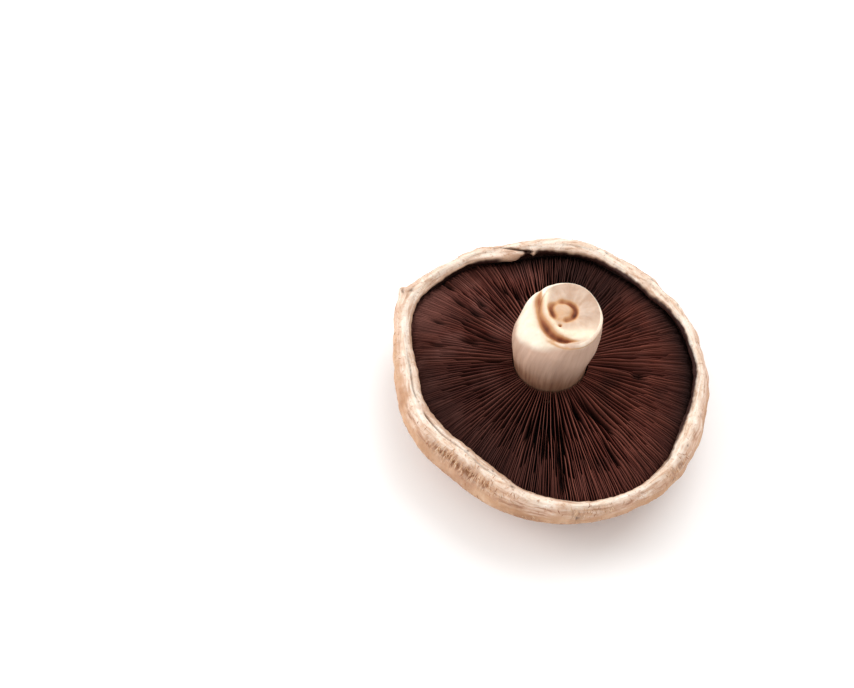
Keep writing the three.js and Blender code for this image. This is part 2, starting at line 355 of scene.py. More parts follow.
def stem_material():
    """Stem flesh: smooth cream rind with fine fibres, darker tan towards the gills partly as painted shade,
    browned and shaded in the cut.
    """
    material, node = new_material("stem_flesh")
    fibres = node(TRAIT, attribute_name="fibres").outputs["Vector"]
    browned_and_shaded, cut, pale_and_lit, shaft, low, foot = (
        node(TRAIT, attribute_name=name).outputs["Fac"]
        for name in ("browned_and_shaded", "cut", "pale_and_lit", "shaft", "low", "foot"))
    # Fibres 1.1 by 14 mm up the stem, and clouds of 6 by 8 mm, by their rates to a mm
    strands = grain(node, fibres, (0.9, 0.9, 0.07), detail=4)
    clouds = grain(node, fibres, (0.16, 0.16, 0.12), detail=4)
    rind = node(RAMP, strands, stops=[(0.32, "BA9A88"), (0.66, "D2B3A0")])
    shoulder = node(RAMP, clouds, stops=[(0.35, "E2D1BA"), (0.65, "F6EAD8")])
    # The pale shoulder is partly painted light where it faces up; the darker side just under the cut's front
    # edge is painted shadow of that edge
    rind = node(MIX, shaft, shoulder, node(MIX, clouds, rind, "C8A48E"))
    # Darker tan towards the gills: partly the stem's own tan, partly painted shade
    rind = node(MIX, low, rind, node(RAMP, strands, stops=[(0.35, "875D46"), (0.65, "AA7F65")]))
    rind = node(MIX, foot, rind, "5A3424")
    face = node(RAMP, clouds, stops=[(0.3, "B5947D"), (0.7, "D2BBA8")])
    fresh = node(MIX, cut, rind, node(MIX, pale_and_lit, face, "F5E1C8"))
    stain_and_shade = node(RAMP, browned_and_shaded, stops=[(0.0, "E0C3A6"), (1.0, "562715"), (0.35, "C49368"), (0.7, "935533")])
    stained_and_shaded = node(MIX, node(RANGE, browned_and_shaded, 0.03, 0.3, 0.0, 1.0), fresh, stain_and_shade)
    bump = node("ShaderNodeBump", sockets={"Height": strands, "Strength": 0.25, "Distance": 0.2 * MM})
    finish_material(node, {
        "Base Color": stained_and_shaded, "Roughness": 0.6, "Specular IOR Level": 0.25, "Subsurface Weight": 0.15,
        "Subsurface Radius": (1.0, 0.7, 0.5), "Subsurface Scale": 2.0 * MM, "Normal": bump})
    return material


def fibre_material():
    """Slivers of the cuticle pressed flat on it: brown, tan or cream."""
    material, node = new_material("pressed_fibres")
    tone = node(TRAIT, attribute_name="tone").outputs["Fac"]
    shade = node(RAMP, tone, stops=[(0.0, "855030"), (1.0, "E6CDAE"), (0.35, "A7734C"), (0.8, "CCA27B")])
    finish_material(node, {"Base Color": shade, "Roughness": 0.7, "Specular IOR Level": 0.25})
    return material


def floor_material():
    """White card with a matt coat, which gives no reflections."""
    material, node = new_material("matt_white_card")
    finish_material(node, {"Base Color": "FCFBFA", "Roughness": 0.9})
    return material


# Camera, lights and floor

CAMERA_ELEVATION = math.radians(57)
CAMERA_AIM = Vector((-45.4, 7.6, 34.1)) * MM
CAMERA_DISTANCE = 0.6
CAMERA_LENS = 69.55
LIGHT_DISTANCE = 0.9
# Softboxes: [name, direction towards it, size in metres, power in watts]
SOFTBOXES = [
    ("key_light", Vector((0.34, 0.42, 0.84)), 0.70, 3.9),
    ("side_light", Vector((-0.88, 0.20, 0.43)), 0.45, 3.8),
]
SKY_STRENGTH = 0.86
FLOOR_SIDE = 8.0


def camera():
    back = Vector((0, -math.cos(CAMERA_ELEVATION), math.sin(CAMERA_ELEVATION)))
    data = bpy.data.cameras.new("camera")
    data.lens = CAMERA_LENS
    seen = bpy.data.objects.new("camera", data)
    seen.matrix_world = Matrix.Translation(CAMERA_AIM + back * CAMERA_DISTANCE) @ Matrix.Rotation(
        math.pi / 2 - CAMERA_ELEVATION, 4, "X")
    bpy.context.scene.collection.objects.link(seen)
    bpy.context.scene.camera = seen


def softbox(name, direction, size, power):
    data = bpy.data.lights.new(name, "AREA")
    data.size = size
    data.energy = power
    lamp = bpy.data.objects.new(name, data)
    lamp.location = direction.normalized() * LIGHT_DISTANCE
    lamp.rotation_mode = "QUATERNION"
    lamp.rotation_quaternion = direction.to_track_quat("Z", "Y")
    bpy.context.scene.collection.objects.link(lamp)


def studio():
    """A pale floor, an even white sky, a large soft light from above and behind, and one from the left."""
    for light in SOFTBOXES:
        softbox(*light)
    world = bpy.data.worlds.new("studio")
    bpy.context.scene.world = world
    world.use_nodes = True
    sky = world.node_tree.nodes["Background"]
    sky.inputs["Color"].default_value = colour("FFFFFF")
    sky.inputs["Strength"].default_value = SKY_STRENGTH
    bpy.context.scene.view_settings.view_transform = "Standard"
    mesh = bpy.data.meshes.new("floor")
    half = FLOOR_SIDE / 2
    corners = [(-half, -half, 0), (half, -half, 0), (half, half, 0), (-half, half, 0)]
    mesh.from_pydata(corners, [], [(0, 1, 2, 3)])
    mesh.materials.append(floor_material())
    floor = bpy.data.objects.new("floor", mesh)
    bpy.context.scene.collection.objects.link(floor)


# Geometry nodes

def new_geometry(name, sockets):
    """A new tree with these inputs and one output, a way to add nodes to it, and the inputs' sockets."""
    tree = bpy.data.node_groups.new(name, "GeometryNodeTree")
    for title, kind in sockets.items():
        tree.interface.new_socket(title, in_out="INPUT", socket_type="NodeSocket" + kind)
    tree.interface.new_socket("Made", in_out="OUTPUT", socket_type="NodeSocketGeometry")
    node = partial(add, tree)
    return tree, node, node("NodeGroupInput").outputs


def finish_geometry(node, geometry, material):
    whole = node(REALIZED, geometry)
    node("NodeGroupOutput", node("GeometryNodeSetMaterial", whole, sockets={"Material": material}))


def grown(name, mesh, tree, **inputs):
    """The mesh that a tree makes from another, with the tree's inputs given by name."""
    seedling = bpy.data.objects.new(name, mesh)
    bpy.context.scene.collection.objects.link(seedling)
    modifier = seedling.modifiers.new(name, "NODES")
    modifier.node_group = tree
    for item in tree.interface.items_tree:
        key = item.name.lower().replace(" ", "_")
        if item.in_out == "INPUT" and key in inputs:
            modifier[item.identifier] = inputs[key]
    evaluated = seedling.evaluated_get(bpy.context.evaluated_depsgraph_get())
    made = bpy.data.meshes.new_from_object(evaluated)
    bpy.data.objects.remove(seedling)
    made.name = name
    return made


# Cap

CAP_COLUMNS = 640
REST_ROWS = 3
DOME_ROWS = 46
ROLL_ROWS = 86
SEAT_ROWS = 6


def ring_points(turn, radius, height):
    angle = turn * TURN
    return np.stack([radius * np.cos(angle), radius * np.sin(angle), height + 0 * radius], axis=-1)


def inwards(start, radius, share):
    """Points a share of the way from start in to a circle round the stem's foot."""
    flat = start[..., :2] - STEM_FOOT
    end = STEM_FOOT + flat * (radius / np.linalg.norm(flat, axis=-1, keepdims=True))
    return start[..., :2] + (end - start[..., :2]) * share


def cap_rows():
    """The cap's plain form: its turns, its rings of points, and each ring's share of the dome and the roll."""
    turn = np.arange(CAP_COLUMNS) / CAP_COLUMNS
    reach, roll, crest = rim_at(turn)
    widest = crest - WIDEST_DEPTH
    rows, on_dome, on_roll = [], [], []
    for share in np.linspace(0.1, 1, REST_ROWS, endpoint=False):
        rows.append(ring_points(turn, share * MEAN_REACH * math.sin(REST_ANGLE) + 0 * turn, 0))
        on_dome.append(0)
        on_roll.append(0)
    for share in np.linspace(0, 1, DOME_ROWS, endpoint=False):
        angle = REST_ANGLE + share * (math.pi / 2 - REST_ANGLE)
        waved = MEAN_REACH + (reach - MEAN_REACH) * share**2
        rise = 1 - math.cos(angle) / math.cos(REST_ANGLE)
        rows.append(ring_points(turn, waved * math.sin(angle), rise * widest))
        on_dome.append(share)
        on_roll.append(0)
    for place in np.linspace(0, len(ROLL) - 1, ROLL_ROWS):
        share, depth = spline(ROLL, place)
        rows.append(ring_points(turn, reach - share * roll, crest - depth))
        on_dome.append(1)
        on_roll.append(place / (len(ROLL) - 1))
    wall = ring_points(turn, reach - GILL_WALL * roll, 0)
    for share in np.linspace(0, 1, SEAT_ROWS):
        flat = inwards(wall, STEM_HOLE - 0.5, share)
        height = np.full(CAP_COLUMNS, np.interp(share, SEAT[:, 0], SEAT[:, 1]))
        rows.append(np.concatenate([flat, height[:, None]], axis=1))
        on_dome.append(1)
        on_roll.append(1)
    return turn, np.array(rows), np.array(on_dome)[:, None], np.array(on_roll)[:, None]


# Where the section passes the crest and the lip, as shares of the roll
AT_CREST = 3 / 7
AT_LIP = 5 / 7
# The length in mm that the whole roll counts for where nicks are measured
ROLL_LENGTH = 20
# The crack along the inside of the crest on the left, by its depth in mm at each angle
RIM_CRACK = np.array([[170, 0], [180, 0.6], [192, 0.6], [203, 1.1], [215, 0.55], [240, 0.5], [250, 0]])
# The slit under the scrap of veil that still hangs from the back of the rim: [angle, share of the roll]
VEIL_SLIT = np.array([[96, 0.66], [98.5, 0.62], [102, 0.55], [106, 0.46], [110, 0.36]])
# The angles between which the veil is gone, and that of the tooth which ends it
VEIL_GAP = (96.6, 98.2)
# How far down the roll the veil reaches: [angle, share of the roll]
VEIL_EDGE = np.array([[96.5, 0.62], [98.5, 0.67], [101, 0.72], [104, 0.80], [108, 0.87]])
VEIL_TOOTH = 95.6
# The pointed tab at the upper left: its angle and half width, in degrees, and how far it sticks out
RIM_TAB = (148.2, 1.3, 2.2)
# Stretches by the widest line where the skin has torn into fibres: [angle, half width in degrees, strength]
TORN = [
    (222, 10, 1.0), (239, 10, 1.0), (277, 6, 0.6), (287, 4, 0.5), (316, 8, 0.7), (172, 8, 0.4), (60, 12, 0.4),
    (120, 14, 0.3), (20, 8, 0.3),
]
# Brown specks and nicks on the rim: [angle, share of the roll, half size in mm]. The one at 147 degrees, 0.41
# of the roll, is painted shadow under the tab.
NICKS = [
    (66, 0.40, 0.8), (70, 0.42, 0.6), (45, 0.38, 0.9), (49, 0.34, 0.6), (252, 0.52, 0.9),
    (144, 0.22, 0.8), (149, 0.30, 0.6), (318, 0.20, 1.1), (313, 0.12, 0.8), (276, 0.08, 1.3),
    (110, 0.36, 0.5), (190, 0.35, 0.5), (12, 0.30, 0.6), (340, 0.25, 0.6), (300, 0.30, 0.5),
    (139, 0.20, 0.8), (135, 0.26, 0.6), (130, 0.20, 0.6), (125, 0.28, 0.6), (118, 0.24, 0.5),
    (56, 0.30, 0.6), (30, 0.36, 0.6), (352, 0.32, 0.5), (325, 0.34, 0.5), (147, 0.41, 0.9),
    (242, 0.60, 0.7), (228, 0.58, 0.6),
]
# Where the slope inside the rim is darkened as painted shade under the lip on the far side: the middle and the
# half length of that stretch, in degrees
DARK_SLOPE = (62, 125)
# Where that painted shade starts further in: [angle, half width in degrees, distance in mm]
SHADE_SHIFTS = [(17, 20, -0.6), (39, 12, 1.2), (77, 14, 1.3)]
# Where the rim is fuller or thinner than its section:
# [angle, half width in degrees, share of the roll, half width of that share, height in mm]
SWELLS = [
    (86, 10, 0.35, 0.25, 1.3), (311, 15, 0.72, 0.13, -1.0), (20, 14, 0.72, 0.13, -0.6),
    (80, 11, 0.66, 0.14, 1.1), (112, 8, 0.74, 0.13, 1.0), (39, 11, 0.70, 0.14, 1.1),
]
FIBRES_PER_MM2 = 1.1


def torn_skin(turn, up_wall):
    """How torn into fibres the skin of the wall is, from 0 to 1."""
    around = sum(strength * bell(turn_gap(turn, middle), half) for middle, half, strength in TORN)
    return np.clip(around, 0, 1) * bell(up_wall - 4.6, 2.3)


def torn_veil(degrees, on_roll):
    """The veil, which leaves the crest and hangs over the gills: its height, slit, gap and place."""
    first, last = VEIL_SLIT[0, 0], VEIL_SLIT[-1, 0]
    gone, back = VEIL_GAP
    veiled = smooth(last + 1, last - 3, degrees) * smooth(first - 1.2, first, degrees)
    past_slit = on_roll - np.interp(degrees, VEIL_SLIT[:, 0], VEIL_SLIT[:, 1])
    slit = veiled * bell(past_slit + 0.02, 0.022)
    edge = np.interp(degrees, VEIL_EDGE[:, 0], VEIL_EDGE[:, 1])
    over_lip = smooth(0, 0.05, past_slit) * smooth(edge, edge - 0.07, on_roll)
    gap = smooth(gone - 1, gone, degrees) * smooth(back + 1.5, back - 0.5, degrees)
    gap = gap * smooth(0.55, 0.66, on_roll) * smooth(0.9, 0.8, on_roll)
    veil = veiled * over_lip * (1 - gap)
    tooth = 1.2 * bell(degrees - VEIL_TOOTH, 1.25) * bell(on_roll - 0.67, 0.09)
    hanging = (last - degrees) / (last - first)
    return 1.9 * hanging * veil + tooth, slit, gap, np.clip(veil + tooth, 0, 1)


def cap_relief(turn, fibres, rows, on_dome, on_roll):
    """Each point's height over the plain form, how browned it is and how darkened with painted shade, and
    whether it is on the veil.
    """
    rim = smooth(0.75, 1, on_dome) * smooth(1, 0.86, on_roll)
    on_rim = smooth(0.9, 1, on_dome)
    degrees = turn * 360
    flat = fibres * (1, 1, 0)
    at_lip = on_roll - AT_LIP
    lumps = (0.6 * noise(rows, 9, 11) + 0.35 * noise(rows, 4, 12)) * (1 - 0.6 * bell(at_lip, 0.16))
    wrinkles = 0.12 * noise(fibres, (1.3, 1.3, 5), 13) + 0.08 * noise(fibres, (0.8, 0.8, 9), 14)
    folds = 0.32 * noise(fibres, (13, 13, 1.5), 15) + 0.15 * noise(fibres, (8, 8, 0.7), 25)
    folds = folds * smooth(0, 0.2, on_roll)
    dome = 0.10 * noise(fibres, (1.2, 1.2, 6), 16) + 0.35 * noise(rows, 14, 17)

    from_line = on_roll - (AT_CREST + 0.085 + 0.02 * noise(flat, 9, 18))
    crack = bell(from_line, 0.020) * np.interp(degrees, RIM_CRACK[:, 0], RIM_CRACK[:, 1])
    crack = crack * smooth(-0.9, -0.2, noise(flat, 5, 19))
    edge = 0.15 * noise(flat, 2.6, 20) * bell(at_lip, 0.1)
    nicks = sum(
        bell(np.hypot(turn_gap(turn, at) / 360 * TURN * MEAN_REACH, (on_roll - place) * ROLL_LENGTH), size)
        for at, place, size in NICKS)
    nicks = nicks * smooth(-0.6, 0.2, noise(fibres, 0.7, 26)) * on_rim
    tongue, slit, gap, veil = torn_veil(degrees, on_roll)
    angle, width, length = RIM_TAB
    tab = length * bell(turn_gap(turn, angle), width) * bell(on_roll - 0.24, 0.13)
    swells = sum(
        height * bell(turn_gap(turn, at), half) * bell(on_roll - place, width)
        for at, half, place, width, height in SWELLS)

    out = rim * (lumps + wrinkles + folds + edge - crack - 0.35 * nicks - 1.5 * slit - 1.2 * gap)
    out = out + tongue + on_rim * (tab + swells)
    out = out + (1 - rim) * dome * smooth(0.12, 0.35, on_dome) * smooth(1, 0.86, on_roll)
    # Darkness: brown specks and nicks, and painted shade in the crack, the slit and the gap in the veil
    return out, np.clip(0.8 * crack + 0.75 * nicks + slit + 0.9 * gap, 0, 1), veil


def fibre_coordinates(turn, rows, radius):
    """Coordinates in mm that run round the piece in x and y and along its section in z."""
    steps = np.linalg.norm(np.diff(rows, axis=0), axis=-1).mean(axis=1)
    travelled = np.concatenate([[0], np.cumsum(steps)])
    angle = turn * TURN
    along = np.broadcast_to(travelled[:, None], turn.shape)
    return np.stack([radius * np.cos(angle), radius * np.sin(angle), along], axis=-1)


def slope_shade(turn, up_slope):
    """How dark the slope inside the far rim is painted, as painted shade under the lip, from 0 to 1."""
    middle, half = DARK_SLOPE
    shift = 1.6 * smooth(70, 40, np.abs(turn_gap(turn, 165)))
    shift = shift + sum(distance * bell(turn_gap(turn, at), width) for at, width, distance in SHADE_SHIFTS)
    return smooth(10.0, 11.1, up_slope - shift) * smooth(half, half * 0.7, np.abs(turn_gap(turn, middle)))


def cap():
    turn, rows, on_dome, on_roll = cap_rows()
    turn = np.broadcast_to(turn, rows.shape[:2])
    fibres = fibre_coordinates(turn, rows, MEAN_REACH)
    out, nicked_and_shaded, veil = cap_relief(turn, fibres, rows, on_dome, on_roll)
    rows = rows + normals_of(rows) * out[..., None]
    rows[..., 2] = np.maximum(rows[..., 2], 0)

    # The looks change at distances in mm along the section, up the wall from its widest line
    up_wall = fibres[..., 2] - fibres[REST_ROWS + DOME_ROWS, :, 2]
    ragged = noise(fibres, (1.4, 1.4, 4), 23) + 1.3 * noise(fibres, (7, 7, 7), 24)
    torn = torn_skin(turn, up_wall + ragged)
    # The tan skin climbs highest at the left
    climbs = 3.2 * bell(turn_gap(turn, 188), 22)
    scaled = 0.25 + 0.75 * smooth(-0.55, 0.45, noise(rows, 13, 27) + 0.5 * noise(rows, 5, 28))
    scaled = 0.7 * scaled * smooth(-45, -18, up_wall) * smooth(1, -6, up_wall)
    traits = {
        "fibres": fibres,
        # Brown specks and nicks, and painted shade in the grooves and on the slope inside the far rim
        "browned_and_shaded": np.maximum(nicked_and_shaded, slope_shade(turn, up_wall + 0.35 * ragged) * (1 - veil)),
        "grained": smooth(-65, -40, up_wall),
        "margin": smooth(-26, -4, up_wall + 3 * ragged),
        # The torn skin shows its fibres over the flesh too
        "flesh": smooth(0.5, 4.0, up_wall + ragged - climbs) * (1 - torn),
        "crest": bell(up_wall + 0.8 * ragged - 8.6, 2.6),
        # Tan inside the lip, partly painted shade under it
        "inner": smooth(10.4, 11.8, up_wall + 0.4 * ragged),
        "scaly": np.clip(scaled + torn, 0, 1),
    }
    skin = grid_mesh("cap_body", rows, traits=traits)
    show("cap_body", skin, cap_material(), "cap_skin", "cap")
    pressed = fibre_material()
    slivers = grown(
        "skin_fibres", skin, fibre_tree(pressed), density=FIBRES_PER_MM2 / MM**2, length=2.3 * MM,
        width=0.3 * MM, slant=0.75, seed=5)
    show("skin_fibres", slivers, pressed, "cap_skin", "cap")


def fibre_tree(material):
    """Geometry nodes: slivers strewn where the skin is scaly, flat on it and pointing to the margin."""
    tree, node, given = new_geometry("pressed_fibres", {
        "Skin": "Geometry", "Density": "Float", "Length": "Float", "Width": "Float", "Slant": "Float",
        "Seed": "Int"})
    index = node("GeometryNodeInputIndex")
    seeds = [node(PLUS, given["Seed"], k) for k in (1, 2, 3, 4)]
    amount = node(TIMES, given["Density"], node(NAMED, "scaly"))
    strewn = node("GeometryNodeDistributePointsOnFaces", sockets={
        "Mesh": given["Skin"], "Density": amount, "Seed": given["Seed"]})
    points = node(STORED, strewn, None, "tone", node(CHANCE, 0.0, 1.0, index, seeds[0]))
    outwards = strewn.outputs["Normal"]
    around = node(UNIT, node(CROSS, (0, 0, 1), node("GeometryNodeInputPosition")))
    aside = node(CHANCE, node(TIMES, given["Slant"], -1.0), given["Slant"], index, seeds[1])
    pointing = node(MOVED, node(CROSS, outwards, around), node(SCALED, around, aside))
    laid = node("FunctionNodeAxesToRotation", outwards, pointing, primary_axis="Z", secondary_axis="X")
    long = node(TIMES, given["Length"], node(CHANCE, 0.2, 0.6, index, seeds[2]))
    wide = node(TIMES, given["Width"], node(CHANCE, 0.3, 0.6, index, seeds[3]))
    size = node(JOINED, long, wide, node(TIMES, wide, 0.45))
    sliver = node("GeometryNodeMeshUVSphere", 4, 2, 1.0)
    cloned = node("GeometryNodeInstanceOnPoints", points, sockets={
        "Instance": sliver, "Rotation": laid, "Scale": size})
    finish_geometry(node, cloned, material)
    return tree


# Gills

GILL_BED_COLUMNS = 360
GILL_BED_DEPTH = 0.9
# The bed in section, by shares of the way in to the stem: its underside from the stem out, then its top
BED_THICKNESS = 0.6
BED_UNDERSIDE = (1, 0.6, 0.3, 0.08, 0)
BED_TOP = (0, 0.06, 0.2, 0.4, 0.7, 1)
GILL_END = 0.82
GILL_FOOT = 14.0


def bed_height(share):
    """Top of the bed that the gills stand on, at a share of the way from the rim in to the stem."""
    return np.interp(share, SEAT[:, 0], SEAT[:, 1]) + GILL_BED_DEPTH


def gill_bed(material):
    turn = np.arange(GILL_BED_COLUMNS) / GILL_BED_COLUMNS
    reach, roll, _ = rim_at(turn)
    outer = ring_points(turn, reach - GILL_END * roll, 0)
    section = [(share, BED_THICKNESS) for share in BED_UNDERSIDE] + [(share, 0) for share in BED_TOP]
    rows = []
    for share, drop in section:
        height = np.full((GILL_BED_COLUMNS, 1), bed_height(share) - drop)
        rows.append(np.concatenate([inwards(outer, STEM_HOLE, share), height], axis=1))
    rows = np.array(rows)
    # The bed takes the gills' root colour all over, which is painted shade
    traits = {name: np.zeros(rows.shape[:2]) for name in ("edge", "plate", "bruise", "even", "paled")}
    bed = grid_mesh("gill_bed", rows, poles=False, closed=True, traits={**traits, "along": rows})
    show("gill_bed", bed, material, "gill_flesh", "gills")


# Ways that stretches of the gills face from the stem
RIGHT = (1, 0, 0)
FAR_RIGHT = (0.80, 0.60, 0)
BACK_RIGHT = (0.42, 0.91, 0)
BACK_LEFT = (-0.80, 0.60, 0)
LEFT = (-0.91, 0.415, 0)
FRONT_LEFT = (-0.77, -0.64, 0)
# How the edge and the root depart from their mean heights, and how long a gill is, in mm
ROOT_RISE = 5.6
EDGE_BULGE = 3.2
EDGE_WAVES = 1.6
LONG_ONES_STAND = 0.3
GILL_LENGTH = 45


def gill_tree(material):
    """Geometry nodes: plates on the points of the rim's outline, each bent into its place by one formula."""
    tree, node, given = new_geometry("gill_plates", {
        "Outline": "Geometry", "Gills": "Int", "Thickness": "Float", "Lean": "Float", "Lying": "Float",
        "Foot": "Vector", "Foot radius": "Float", "Root": "Float", "Edge": "Float", "Seed": "Int"})
    seed = given["Seed"]
    curve = node("GeometryNodeMeshToCurve", given["Outline"])
    points = node("GeometryNodeCurveToPoints", curve, given["Gills"], mode="COUNT")
    number = node("GeometryNodeInputIndex")
    points = node(STORED, points, None, "start", node("GeometryNodeInputPosition"), data_type="FLOAT_VECTOR")
    points = node(STORED, points, None, "number", number)
    points = node(STORED, points, None, "plate", node(CHANCE, 0.0, 1.0, number, seed))

    # Every fourth gill runs all the way in, and those between stop part of the way
    second = node(SAME, node(MODULO, number, 4.0), 2.0, 0.1)
    middle = node(TIMES, second, node(CHANCE, 0.18, 0.42, number, seed))
    short = node(TIMES, node(MODULO, number, 2.0), node(CHANCE, 0.40, 0.70, number, seed))
    points = node(STORED, points, None, "reach_in", node(MINUS, 1.0, node(PLUS, middle, short)))
    slab = node("GeometryNodeMeshCube", (1, 1, 1), 24, 2, 4)
    plates = node(REALIZED, node("GeometryNodeInstanceOnPoints", points, sockets={"Instance": slab}))

    # Each point's share of the way in to the stem and up the gill
    start = node(NAMED, "start", data_type="FLOAT_VECTOR")
    number = node(NAMED, "number")
    reach_in = node(NAMED, "reach_in")
    local = node(BETWEEN, node("GeometryNodeInputPosition"), start)
    along, side, up = node("ShaderNodeSeparateXYZ", local).outputs
    share_here = node(PLUS, along, 0.5)
    share = node(TIMES, share_here, reach_in)
    height = node(PLUS, up, 0.5)
    outwards = node(UNIT, node(BETWEEN, start, given["Foot"]))
    end = node(MOVED, given["Foot"], node(SCALED, outwards, given["Foot radius"]))
    flat = node(MOVED, start, node(SCALED, node(BETWEEN, end, start), share))

    # Neighbours lean together, so that they close up in bundles with dark gaps between
    place = node(MOVED, node(SCALED, outwards, 12.0), node(JOINED, 0.0, 0.0, node(TIMES, share, 0.9)))
    drift = node(NOISE, place, 1.0, 3.0)
    own = node(NOISE, node(JOINED, node(TIMES, number, 7.3), node(TIMES, share, 3.0)), 1.0, 1.0)
    bundle = node(TIMES, node(MINUS, drift, 0.5), given["Lean"])
    stray = node(TIMES, node(MINUS, own, 0.5), node(TIMES, given["Lean"], 0.3))
    # At the left and the right they lie over like shingles, and elsewhere they stand
    lying = node(TIMES, node(DOT, outwards, RIGHT), given["Lying"])
    narrowing = node(RANGE, share, 0.0, 1.0, 1.0, 0.35)
    leaning = node(TIMES, node(PLUS, node(PLUS, bundle, stray), lying), narrowing)
    lean = node(TIMES, leaning, node(POWER, height, 1.4))
    half = node(TIMES, node(TIMES, side, given["Thickness"]), node(RANGE, height, 0.0, 1.0, 1.25, 0.7))
    across = node(CROSS, (0, 0, 1), outwards)
    flat = node(MOVED, flat, node(SCALED, across, node(PLUS, lean, half)))

    # The root follows the bed, and the edge bulges a little between the rim and the stem
    left = node(MINUS, 1.0, share)
    root = node(PLUS, given["Root"], node(TIMES, node(POWER, left, 3.0), ROOT_RISE * MM))
    bulge = node(TIMES, node(TIMES, share, left), EDGE_BULGE * MM)
    standing = node(RANGE, reach_in, 0.3, 1.0, -LONG_ONES_STAND * MM, LONG_ONES_STAND * MM)
    ragged = node(PLUS, node(CHANCE, -0.35 * MM, 0.25 * MM, number, seed), standing)
    waves = node(TIMES, node(MINUS, own, 0.5), EDGE_WAVES * MM)
    edge = node(PLUS, node(PLUS, node(PLUS, given["Edge"], bulge), ragged), waves)
    # A gill that stops short tapers off, and every gill is rounded at the rim
    taper = node(MOST, node(RANGE, share_here, 0.72, 1.0, 1.0, 0.15), node(SAME, reach_in, 1.0, 0.001))
    rounded = node(RANGE, share_here, 0.0, 0.10, 0.30, 1.0)
    standing_up = node(TIMES, node(MINUS, edge, root), node(TIMES, taper, rounded))
    level = node(PLUS, root, node(TIMES, standing_up, height))
    position = node(MOVED, flat, node(JOINED, 0.0, 0.0, level))

    # Darker in patches of their own, and darkened as painted shade in the recess behind the lip on the far
    # side, at the front left and at the back right
    cloud = node(NOISE, flat, 70.0, 2.0, 0.6)
    far_right = node(RANGE, node(DOT, outwards, FAR_RIGHT), -0.4, 0.5, 0.1, 0.95)
    recess = node(TIMES, node(RANGE, share, 0.06, 0.32, 1.0, 0.0), far_right)
    front_left = node(RANGE, node(DOT, outwards, FRONT_LEFT), 0.50, 0.92, 0.0, 0.72)
    shaded = node(MOST, recess, node(TIMES, node(RANGE, share, 0.15, 0.80, 1.0, 0.35), front_left))
    shaded = node(MOST, shaded, node(RANGE, node(DOT, outwards, BACK_RIGHT), 0.83, 0.97, 0.0, 0.78))
    dark = node(MOST, node(RANGE, cloud, 0.5, 0.75, 0.0, 0.6), shaded)
    # Painted light: paler in patches, mostly at the back left, and by the rim at the left, where the light
    # falls on them
    back_left = node(RANGE, node(DOT, outwards, BACK_LEFT), -0.2, 0.6, 0.25, 1.0)
    patches = node(TIMES, node(RANGE, cloud, 0.52, 0.36, 0.0, 0.55), back_left)
    left_rim = node(RANGE, node(DOT, outwards, LEFT), 0.955, 0.995, 0.0, 0.8)
    pale_and_lit = node(MOST, patches, node(TIMES, node(RANGE, share, 0.10, 0.42, 1.0, 0.0), left_rim))
    # At the right they lie so flat that they look even
    even = node(RANGE, node(DOT, outwards, RIGHT), 0.3, 0.9, 0.0, 0.55)
    for name, value in {"edge": height, "bruise": dark, "paled": pale_and_lit, "even": even}.items():
        plates = node(STORED, plates, None, name, value)
    along = node(JOINED, node(TIMES, share, GILL_LENGTH), number, node(TIMES, height, 5.0))
    plates = node(STORED, plates, None, "along", along, data_type="FLOAT_VECTOR")
    placed = node("GeometryNodeSetPosition", plates, None, position)
    finish_geometry(node, node("GeometryNodeSetShadeSmooth", placed, None, False), material)
    return tree


# Places where the gills have shrunk apart: [x, y, half length towards the stem, half width, depth]
HOLLOWS = [
    (-27.4, 27.1, 3.5, 1.3, 2.5), (-11.4, 35.3, 2.8, 1.1, 3), (-15.9, 37.2, 2.2, 1.0, 2),
    (2.8, -26.8, 6, 0.8, 5), (2.1, -43.0, 5, 0.9, 5), (15.2, -16.4, 6, 1.0, 5), (12.2, -14.0, 5, 0.9, 5),
    (18.5, -21.0, 4, 0.9, 4), (-4.0, -30.5, 5, 0.7, 4), (31.5, -0.7, 1.8, 1.6, 2.5),
    (-23.0, 16.0, 5, 0.9, 3), (-20.5, 6.0, 4, 0.8, 3), (-9.0, -24.0, 5, 0.7, 4), (20.0, -33.0, 5, 0.8, 3),
    (25.0, 22.0, 4, 0.8, 2), (-32.8, 31.5, 3.0, 0.9, 2.5), (-41.3, 23.4, 3.0, 0.9, 2),
    (-24.7, 31.2, 2.5, 0.9, 2), (-37.3, 39.7, 3.0, 1.0, 2), (-29.3, 14.5, 4.0, 0.9, 2.5),
    (-41.5, 12.6, 3.5, 0.8, 2), (8.3, -15.7, 4.0, 0.9, 4), (1.3, -33.9, 4.5, 0.8, 4),
]


def sink_hollows(mesh):
    """Lowers the gills in the hollows and darkens them there with painted shade."""
    count = len(mesh.vertices)
    points, edge, bruise = np.empty(count * 3), np.empty(count), np.empty(count)
    mesh.vertices.foreach_get("co", points)
    mesh.attributes["edge"].data.foreach_get("value", edge)
    mesh.attributes["bruise"].data.foreach_get("value", bruise)
    points = points.reshape(-1, 3)
    flat = points[:, :2] / MM
    for x, y, length, width, depth in HOLLOWS:
        inwards_here = (STEM_FOOT - (x, y)) / np.linalg.norm(STEM_FOOT - (x, y))
        gap = flat - (x, y)
        along = gap @ inwards_here
        across = gap @ (-inwards_here[1], inwards_here[0])
        sunk = bell(along, length) * bell(across, width)
        points[:, 2] -= sunk * edge * depth * MM
        bruise = np.maximum(bruise, 0.95 * sunk)
    mesh.vertices.foreach_set("co", points.ravel())
    mesh.attributes["bruise"].data.foreach_set("value", bruise)
    mesh.update()


